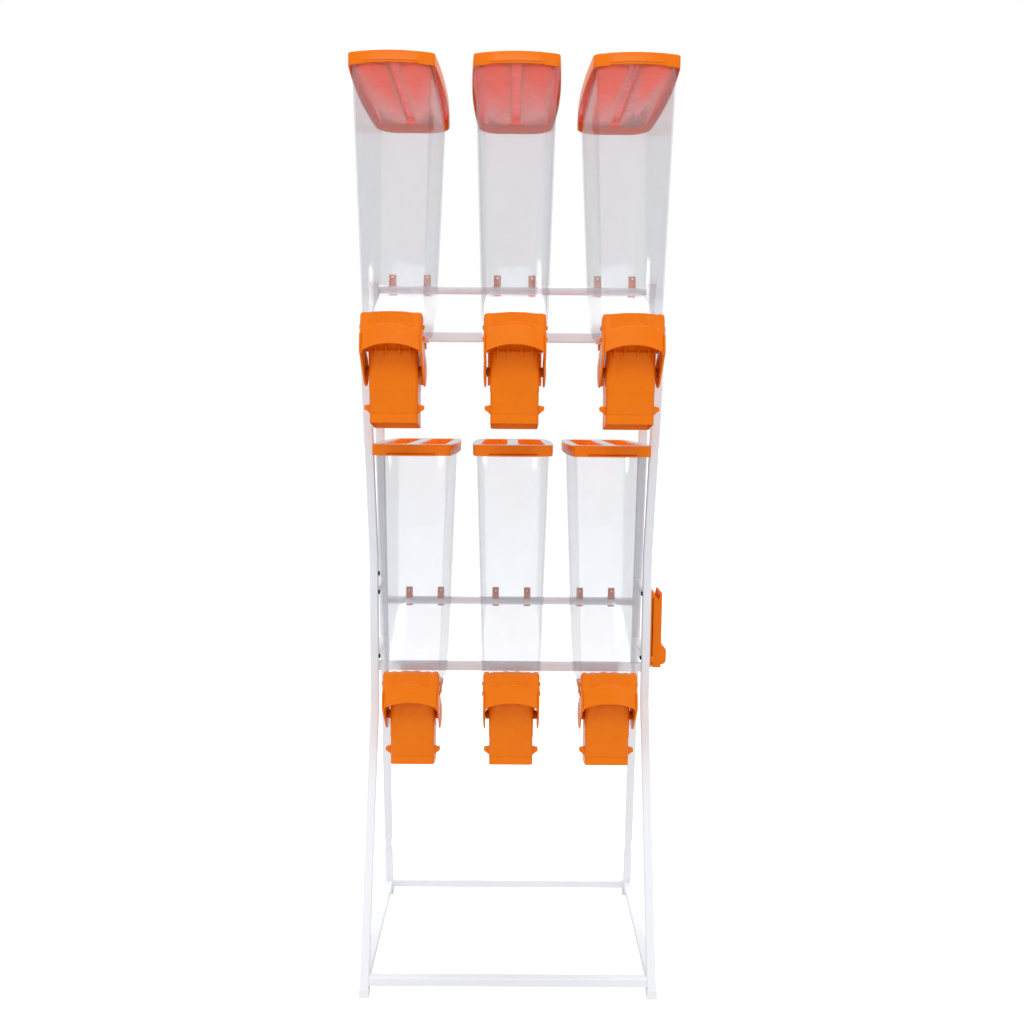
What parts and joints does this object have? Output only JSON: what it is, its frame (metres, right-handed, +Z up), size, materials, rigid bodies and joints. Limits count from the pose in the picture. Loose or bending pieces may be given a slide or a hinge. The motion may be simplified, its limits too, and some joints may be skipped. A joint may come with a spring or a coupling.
{
  "type": "pet food dispenser",
  "caption": "Free-standing tube stand with two rows of clear gravity hoppers, each with a lift-off lid and a pull-forward shutter over a pouring chute.",
  "frame": {"origin": "middle of the object's footprint box, on the floor", "axes": "+Z up, +X to the right seen from the front, the chutes and shutters face -Y"},
  "size_m": [0.6366, 0.5728, 1.8036],
  "materials": {
    "white_powder_coat": "satin white powder coat",
    "orange_plastic": "glossy moulded plastic",
    "clear_plastic": "glossy, slightly frosted translucent plastic",
    "zinc_screw": "zinc plated",
    "black_screw": "black oxide",
    "white_cap": "moulded"
  },
  "bodies": {
    "stand": {"base_bar_front": "white_powder_coat", "base_bar_left": "white_powder_coat", "base_bar_rear": "white_powder_coat", "base_bar_right": "white_powder_coat", "clamp_screws": "zinc_screw", "end_plugs": "white_cap", "foot_caps": "white_cap", "front_leg_left": "white_powder_coat", "front_leg_right": "white_powder_coat", "front_upright_left": "white_powder_coat", "front_upright_right": "white_powder_coat", "lower_hook_bar": "white_powder_coat", "lower_left_hopper": "clear_plastic", "lower_left_valve_body": "orange_plastic", "lower_middle_hopper": "clear_plastic", "lower_middle_valve_body": "orange_plastic", "lower_rest_bar": "white_powder_coat", "lower_right_hopper": "clear_plastic", "lower_right_valve_body": "orange_plastic", "post_screws": "black_screw", "rear_clamps": "orange_plastic", "rear_leg_left": "white_powder_coat", "rear_leg_right": "white_powder_coat", "rear_upright_left": "white_powder_coat", "rear_upright_right": "white_powder_coat", "side_holder": "orange_plastic", "side_rung_left_high": "white_powder_coat", "side_rung_left_low": "white_powder_coat", "side_rung_left_middle": "white_powder_coat", "side_rung_right_high": "white_powder_coat", "side_rung_right_low": "white_powder_coat", "side_rung_right_middle": "white_powder_coat", "upper_hook_bar": "white_powder_coat", "upper_left_hopper": "clear_plastic", "upper_left_valve_body": "orange_plastic", "upper_middle_hopper": "clear_plastic", "upper_middle_valve_body": "orange_plastic", "upper_rest_bar": "white_powder_coat", "upper_right_hopper": "clear_plastic", "upper_right_valve_body": "orange_plastic"},
    "upper_left_shutter_body": {"upper_left_shutter": "orange_plastic", "upper_left_flow_gate": "orange_plastic"},
    "upper_left_lid_body": {"upper_left_lid": "orange_plastic"},
    "upper_middle_shutter_body": {"upper_middle_shutter": "orange_plastic", "upper_middle_flow_gate": "orange_plastic"},
    "upper_middle_lid_body": {"upper_middle_lid": "orange_plastic"},
    "upper_right_shutter_body": {"upper_right_shutter": "orange_plastic", "upper_right_flow_gate": "orange_plastic"},
    "upper_right_lid_body": {"upper_right_lid": "orange_plastic"},
    "lower_left_shutter_body": {"lower_left_shutter": "orange_plastic", "lower_left_flow_gate": "orange_plastic"},
    "lower_left_lid_body": {"lower_left_lid": "orange_plastic"},
    "lower_middle_shutter_body": {"lower_middle_shutter": "orange_plastic", "lower_middle_flow_gate": "orange_plastic"},
    "lower_middle_lid_body": {"lower_middle_lid": "orange_plastic"},
    "lower_right_shutter_body": {"lower_right_shutter": "orange_plastic", "lower_right_flow_gate": "orange_plastic"},
    "lower_right_lid_body": {"lower_right_lid": "orange_plastic"}
  },
  "joints": [
    {"name": "upper_left_shutter_hinge", "type": "hinge", "parent": "stand", "child": "upper_left_shutter_body", "pos_m": [-0.23275, -0.21264, 1.2506], "axis": [1, 0, 0], "range_deg": [0, 50]},
    {"name": "upper_left_lid_lift", "type": "slide", "parent": "stand", "child": "upper_left_lid_body", "axis": [0, 0, 1], "range_m": [0, 0.06]},
    {"name": "upper_middle_shutter_hinge", "type": "hinge", "parent": "stand", "child": "upper_middle_shutter_body", "pos_m": [-0.01175, -0.21264, 1.2506], "axis": [1, 0, 0], "range_deg": [0, 50]},
    {"name": "upper_middle_lid_lift", "type": "slide", "parent": "stand", "child": "upper_middle_lid_body", "axis": [0, 0, 1], "range_m": [0, 0.06]},
    {"name": "upper_right_shutter_hinge", "type": "hinge", "parent": "stand", "child": "upper_right_shutter_body", "pos_m": [0.19975, -0.21264, 1.2506], "axis": [1, 0, 0], "range_deg": [0, 50]},
    {"name": "upper_right_lid_lift", "type": "slide", "parent": "stand", "child": "upper_right_lid_body", "axis": [0, 0, 1], "range_m": [0, 0.06]},
    {"name": "lower_left_shutter_hinge", "type": "hinge", "parent": "stand", "child": "lower_left_shutter_body", "pos_m": [-0.21275, -0.09464, 0.5597], "axis": [1, 0, 0], "range_deg": [0, 50]},
    {"name": "lower_left_lid_lift", "type": "slide", "parent": "stand", "child": "lower_left_lid_body", "axis": [0, 0, 1], "range_m": [0, 0.06]},
    {"name": "lower_middle_shutter_hinge", "type": "hinge", "parent": "stand", "child": "lower_middle_shutter_body", "pos_m": [-0.01325, -0.09464, 0.5597], "axis": [1, 0, 0], "range_deg": [0, 50]},
    {"name": "lower_middle_lid_lift", "type": "slide", "parent": "stand", "child": "lower_middle_lid_body", "axis": [0, 0, 1], "range_m": [0, 0.06]},
    {"name": "lower_right_shutter_hinge", "type": "hinge", "parent": "stand", "child": "lower_right_shutter_body", "pos_m": [0.18125, -0.09464, 0.5597], "axis": [1, 0, 0], "range_deg": [0, 50]},
    {"name": "lower_right_lid_lift", "type": "slide", "parent": "stand", "child": "lower_right_lid_body", "axis": [0, 0, 1], "range_m": [0, 0.06]}
  ]
}
